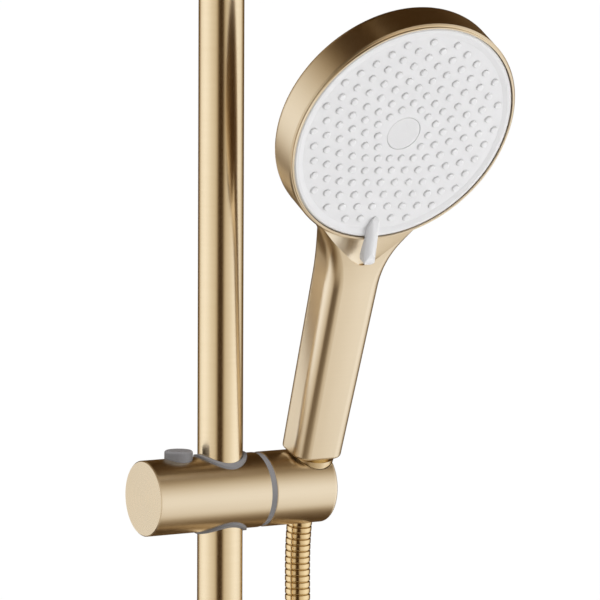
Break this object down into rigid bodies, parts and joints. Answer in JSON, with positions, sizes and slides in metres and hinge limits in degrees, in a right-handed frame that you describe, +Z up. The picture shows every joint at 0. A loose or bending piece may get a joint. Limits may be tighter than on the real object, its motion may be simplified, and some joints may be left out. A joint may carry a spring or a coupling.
{
  "type": "rainfall shower column",
  "caption": "Wall shower column: riser rail with overhead rain head, lower diverter, sliding leaning holder, hand shower with turning face, and a hanging ribbed hose.",
  "frame": {"origin": "axis of the lower wall inlet where it meets the wall plane", "axes": "+Z up along the rail, +Y into the wall, +X to the right as the bather faces the column"},
  "size_m": [0.25, 0.573, 1.6447],
  "materials": {
    "gold_steel": "brushed gold",
    "gold_brass": "brushed gold",
    "gold_plated": "brushed gold plating",
    "bare_brass": "machined",
    "steel": "bright",
    "rubber": "matte",
    "grey_plastic": "satin",
    "inner_plastic": "matte",
    "white_plastic": "satin",
    "white_silicone": "soft",
    "gold_hose": "polished interlocked strip"
  },
  "bodies": {
    "column": {"riser_rail": "gold_steel", "joining_sleeve": "bare_brass", "sleeve_o_rings": "rubber", "overhead_arm": "gold_steel", "arm_nipple": "bare_brass", "wall_bracket": "gold_brass", "wall_plate": "steel", "bracket_cover": "gold_steel", "clamp_screw": "steel", "post_screw": "steel", "diverter_body": "gold_brass", "foot_screw": "steel", "inlet_nipple": "bare_brass", "inlet_washer": "rubber", "inlet_cover": "gold_steel", "diverter_cartridge": "inner_plastic", "cartridge_nut": "bare_brass", "hose_lower_nut": "gold_brass", "hose_lower_washer": "rubber", "hose_lower_ferrule": "bare_brass", "hose_lower": "gold_hose", "ball_stem": "gold_brass", "stem_washer": "rubber"},
    "knob": {"diverter_knob": "gold_brass", "diverter_spindle": "bare_brass", "knob_screw": "steel"},
    "slider": {"slider_body": "gold_plated", "slider_end_cap": "gold_plated", "rail_liner": "grey_plastic", "brake_plug": "inner_plastic", "brake_spring": "steel", "button_shelf": "inner_plastic", "button_spring": "steel", "friction_ring": "grey_plastic"},
    "button": {"release_button": "grey_plastic"},
    "holder": {"holder": "gold_plated", "pivot_bolt": "steel", "spring_washer": "steel", "hose_mid": "gold_hose"},
    "hose_end": {"hose_ferrule": "bare_brass", "hose_top": "gold_hose"},
    "handset": {"handset_shell": "gold_plated", "handset_nipple": "bare_brass", "handle_tube": "inner_plastic", "spray_chamber": "inner_plastic", "chamber_seal": "rubber", "face_screw": "steel", "cone_nut": "gold_brass", "hose_washer": "rubber"},
    "spray_disc": {"spray_face": "white_plastic", "jet_mat": "white_silicone", "jet_plate": "inner_plastic", "centre_cap": "white_plastic", "spray_lever": "white_plastic"},
    "ball_ring": {"ball_seal": "rubber"},
    "rain_head": {"rain_cover": "gold_steel", "rain_face": "gold_steel", "rain_jets": "white_silicone", "ball_collar": "gold_brass"}
  },
  "joints": [
    {"name": "slider_slide", "type": "slide", "parent": "column", "child": "slider", "axis": [0, 0, 1], "range_m": [-0.36, 0.24], "deforming": ["hose_lower"]},
    {"name": "button_press", "type": "slide", "parent": "slider", "child": "button", "axis": [0, 0, -1], "range_m": [0, 0.002], "stiffness_N_per_m": 900, "springref_m": -0.002, "deforming": ["button_spring"]},
    {"name": "holder_pivot", "type": "hinge", "parent": "slider", "child": "holder", "pos_m": [0, -0.07, 0.54], "axis": [1, 0, 0], "range_deg": [-8, 35], "deforming": ["hose_mid", "hose_top"]},
    {"name": "handset_lift", "type": "slide", "parent": "holder", "child": "hose_end", "axis": [0, -0.342, 0.9397], "range_m": [0, 0.05], "deforming": ["hose_top"]},
    {"name": "handset_swivel", "type": "hinge", "parent": "hose_end", "child": "handset", "pos_m": [0.0518, -0.07, 0.54], "axis": [0, -0.342, 0.9397], "range_deg": [-90, 90]},
    {"name": "spray_turn", "type": "hinge", "parent": "handset", "child": "spray_disc", "pos_m": [0.0518, -0.16827, 0.73399], "axis": [0, -0.8838, -0.4679], "range_deg": [-18, 22]},
    {"name": "diverter_turn", "type": "hinge", "parent": "column", "child": "knob", "pos_m": [-0.054, -0.07, 0], "axis": [1, 0, 0], "range_deg": [0, 90]},
    {"name": "rain_tilt", "type": "hinge", "parent": "column", "child": "ball_ring", "pos_m": [0, -0.43, 1.024], "axis": [1, 0, 0], "range_deg": [-15, 15]},
    {"name": "rain_spin", "type": "hinge", "parent": "ball_ring", "child": "rain_head", "pos_m": [0, -0.43, 1.024], "axis": [0, 0, 1], "continuous": true}
  ]
}
